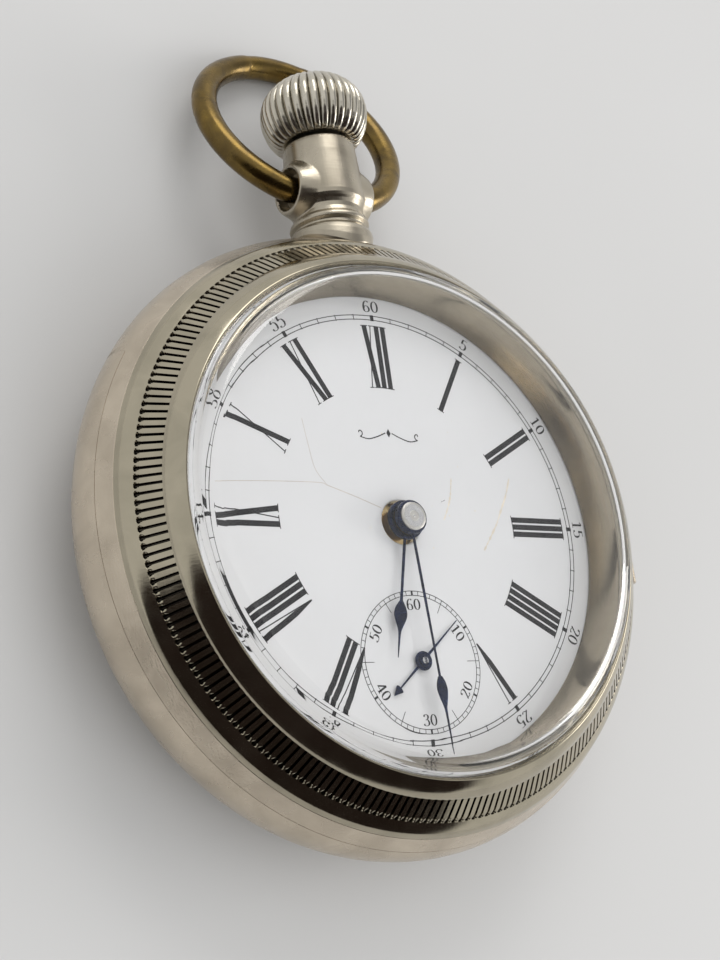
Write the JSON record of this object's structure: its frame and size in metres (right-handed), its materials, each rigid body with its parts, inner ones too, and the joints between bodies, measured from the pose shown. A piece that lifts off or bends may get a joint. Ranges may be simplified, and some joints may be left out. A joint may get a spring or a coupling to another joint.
{
  "type": "open face pocket watch",
  "caption": "Open face pocket watch with screwed coin-edge bezel, hinged back, enamel dial with seconds, onion crown, swinging bow and a full train.",
  "frame": {"origin": "centre of the flat rest in the middle of the back cover", "axes": "+Z out through the dial and crystal, +Y to twelve o'clock and the pendant, +X to three o'clock"},
  "size_m": [0.057, 0.0801, 0.0183],
  "materials": {
    "case_nickel": "satin nickel with fine wear",
    "bezel_nickel": "polished nickel",
    "crystal": "clear polished glass",
    "bow_brass": "worn brass",
    "enamel": "glossy white enamel",
    "blued_steel": "blued steel",
    "steel": "polished steel",
    "gilt": "gilded",
    "plate_nickel": "damaskeened nickel",
    "ruby": "polished jewel",
    "copper": "plain copper",
    "spring_steel": "tempered spring steel"
  },
  "bodies": {
    "case": {"case_centre": "case_nickel", "pendant": "case_nickel", "pendant_sleeve": "steel", "pillar_plate": "plate_nickel", "top_plate": "plate_nickel", "pillars": "plate_nickel", "plate_screws": "blued_steel", "case_screws": "blued_steel", "plate_jewels": "ruby", "top_jewels": "ruby", "centre_bushes": "gilt", "balance_cock": "plate_nickel", "cock_screw": "blued_steel", "cock_jewel": "ruby", "hairspring_stud": "steel", "dial": "enamel", "dial_feet": "copper", "back_hinge_pin": "steel"},
    "back": {"back_cover": "case_nickel"},
    "crystal": {"crystal": "crystal"},
    "bezel": {"bezel": "bezel_nickel"},
    "bow": {"bow": "bow_brass"},
    "winding_pinion": {"winding_pinion": "steel", "winding_clutch": "steel"},
    "crown": {"crown": "bezel_nickel", "winding_stem": "steel"},
    "crown_wheel": {"crown_wheel": "steel"},
    "barrel_arbor": {"barrel_arbor": "steel", "ratchet_wheel": "steel", "ratchet_screw": "blued_steel"},
    "click": {"click": "steel"},
    "barrel": {"barrel": "gilt", "barrel_cover": "gilt", "mainspring": "spring_steel"},
    "centre_wheel": {"centre_arbor": "steel", "centre_wheel": "gilt", "cannon_pinion": "steel", "minute_hand": "blued_steel"},
    "third_wheel": {"third_arbor": "steel", "third_wheel": "gilt"},
    "fourth_wheel": {"fourth_arbor": "steel", "fourth_wheel": "gilt", "second_hand": "blued_steel"},
    "escape_wheel": {"escape_arbor": "steel", "escape_wheel": "gilt"},
    "minute_wheel": {"minute_wheel": "gilt"},
    "hour_wheel": {"hour_wheel": "gilt", "hour_hand": "blued_steel"},
    "setting_wheel": {"setting_wheel": "steel"},
    "fork": {"pallet_fork": "steel", "pallet_arbor": "steel"},
    "balance": {"balance_wheel": "gilt", "balance_staff": "steel", "roller": "steel", "hairspring": "spring_steel"},
    "regulator": {"regulator": "steel"}
  },
  "joints": [
    {"name": "back_hinge", "type": "hinge", "parent": "case", "child": "back", "pos_m": [0.0279, 0, 0.00965], "axis": [0, -1, 0], "range_deg": [0, 100]},
    {"name": "bezel_lift", "type": "slide", "parent": "case", "child": "crystal", "axis": [0, 0, 1], "range_m": [0, 0.001]},
    {"name": "bezel_turn", "type": "hinge", "parent": "crystal", "child": "bezel", "pos_m": [0, 0, 0.013], "axis": [0, 0, 1], "range_deg": [0, 720]},
    {"name": "bow_swing", "type": "hinge", "parent": "case", "child": "bow", "pos_m": [0, 0.0335, 0.0075], "axis": [1, 0, 0], "range_deg": [-88, 132]},
    {"name": "crown_turn", "type": "hinge", "parent": "case", "child": "winding_pinion", "pos_m": [0, 0.017, 0.00745], "axis": [0, 1, 0], "continuous": true},
    {"name": "crown_pull", "type": "slide", "parent": "winding_pinion", "child": "crown", "axis": [0, 1, 0], "range_m": [0, 0.001]},
    {"name": "crown_wheel_turn", "type": "hinge", "parent": "case", "child": "crown_wheel", "pos_m": [0, 0.01359, 0.0036], "axis": [0, 0, 1], "continuous": true},
    {"name": "ratchet_turn", "type": "hinge", "parent": "case", "child": "barrel_arbor", "pos_m": [0.00636, 0.00758, 0.0036], "axis": [0, 0, 1], "continuous": true},
    {"name": "click_rock", "type": "hinge", "parent": "case", "child": "click", "pos_m": [0.01118, 0.00183, 0.0036], "axis": [0, 0, 1], "range_deg": [-8, 0], "stiffness_Nm_per_rad": 0.0001},
    {"name": "seconds_turn", "type": "hinge", "parent": "case", "child": "fourth_wheel", "pos_m": [0, -0.0123, 0.0075], "axis": [0, 0, 1], "continuous": true},
    {"name": "centre_turn", "type": "hinge", "parent": "case", "child": "centre_wheel", "pos_m": [0, 0, 0.008], "axis": [0, 0, 1], "continuous": true},
    {"name": "barrel_turn", "type": "hinge", "parent": "case", "child": "barrel", "pos_m": [0.00636, 0.00758, 0.007], "axis": [0, 0, 1], "continuous": true},
    {"name": "third_turn", "type": "hinge", "parent": "case", "child": "third_wheel", "pos_m": [0.00378, -0.00665, 0.007], "axis": [0, 0, 1], "continuous": true},
    {"name": "escape_turn", "type": "hinge", "parent": "case", "child": "escape_wheel", "pos_m": [-0.00566, -0.01315, 0.007], "axis": [0, 0, 1], "continuous": true},
    {"name": "minute_work_turn", "type": "hinge", "parent": "case", "child": "minute_wheel", "pos_m": [0.00124, 0.00464, 0.01], "axis": [0, 0, 1], "continuous": true},
    {"name": "hour_turn", "type": "hinge", "parent": "case", "child": "hour_wheel", "pos_m": [0, 0, 0.0105], "axis": [0, 0, 1], "continuous": true},
    {"name": "setting_turn", "type": "hinge", "parent": "case", "child": "setting_wheel", "pos_m": [0.0004, 0.01058, 0.01], "axis": [0, 0, 1], "continuous": true},
    {"name": "fork_rock", "type": "hinge", "parent": "case", "child": "fork", "pos_m": [-0.00789, -0.00978, 0.0065], "axis": [0, 0, 1], "range_deg": [-5, 5]},
    {"name": "balance_swing", "type": "hinge", "parent": "case", "child": "balance", "pos_m": [-0.0108, -0.0054, 0.0032], "axis": [0, 0, 1], "range_deg": [-270, 270], "stiffness_Nm_per_rad": 0.000012},
    {"name": "regulator_turn", "type": "hinge", "parent": "case", "child": "regulator", "pos_m": [-0.0108, -0.0054, 0.0017], "axis": [0, 0, 1], "range_deg": [-20, 20]}
  ],
  "couplings": [
    {"joint": "bezel_lift", "follows": "bezel_turn", "m_per_rad": 0.0000795},
    {"joint": "crown_wheel_turn", "follows": "crown_turn", "ratio": 0.5},
    {"joint": "ratchet_turn", "follows": "crown_turn", "ratio": -0.375},
    {"joint": "centre_turn", "follows": "seconds_turn", "ratio": 0.016667},
    {"joint": "barrel_turn", "follows": "seconds_turn", "ratio": -0.0025641},
    {"joint": "third_turn", "follows": "seconds_turn", "ratio": -0.13333},
    {"joint": "escape_turn", "follows": "seconds_turn", "ratio": -10},
    {"joint": "minute_work_turn", "follows": "seconds_turn", "ratio": -0.0055556},
    {"joint": "hour_turn", "follows": "seconds_turn", "ratio": 0.0013889},
    {"joint": "setting_turn", "follows": "seconds_turn", "ratio": 0.0083333}
  ]
}
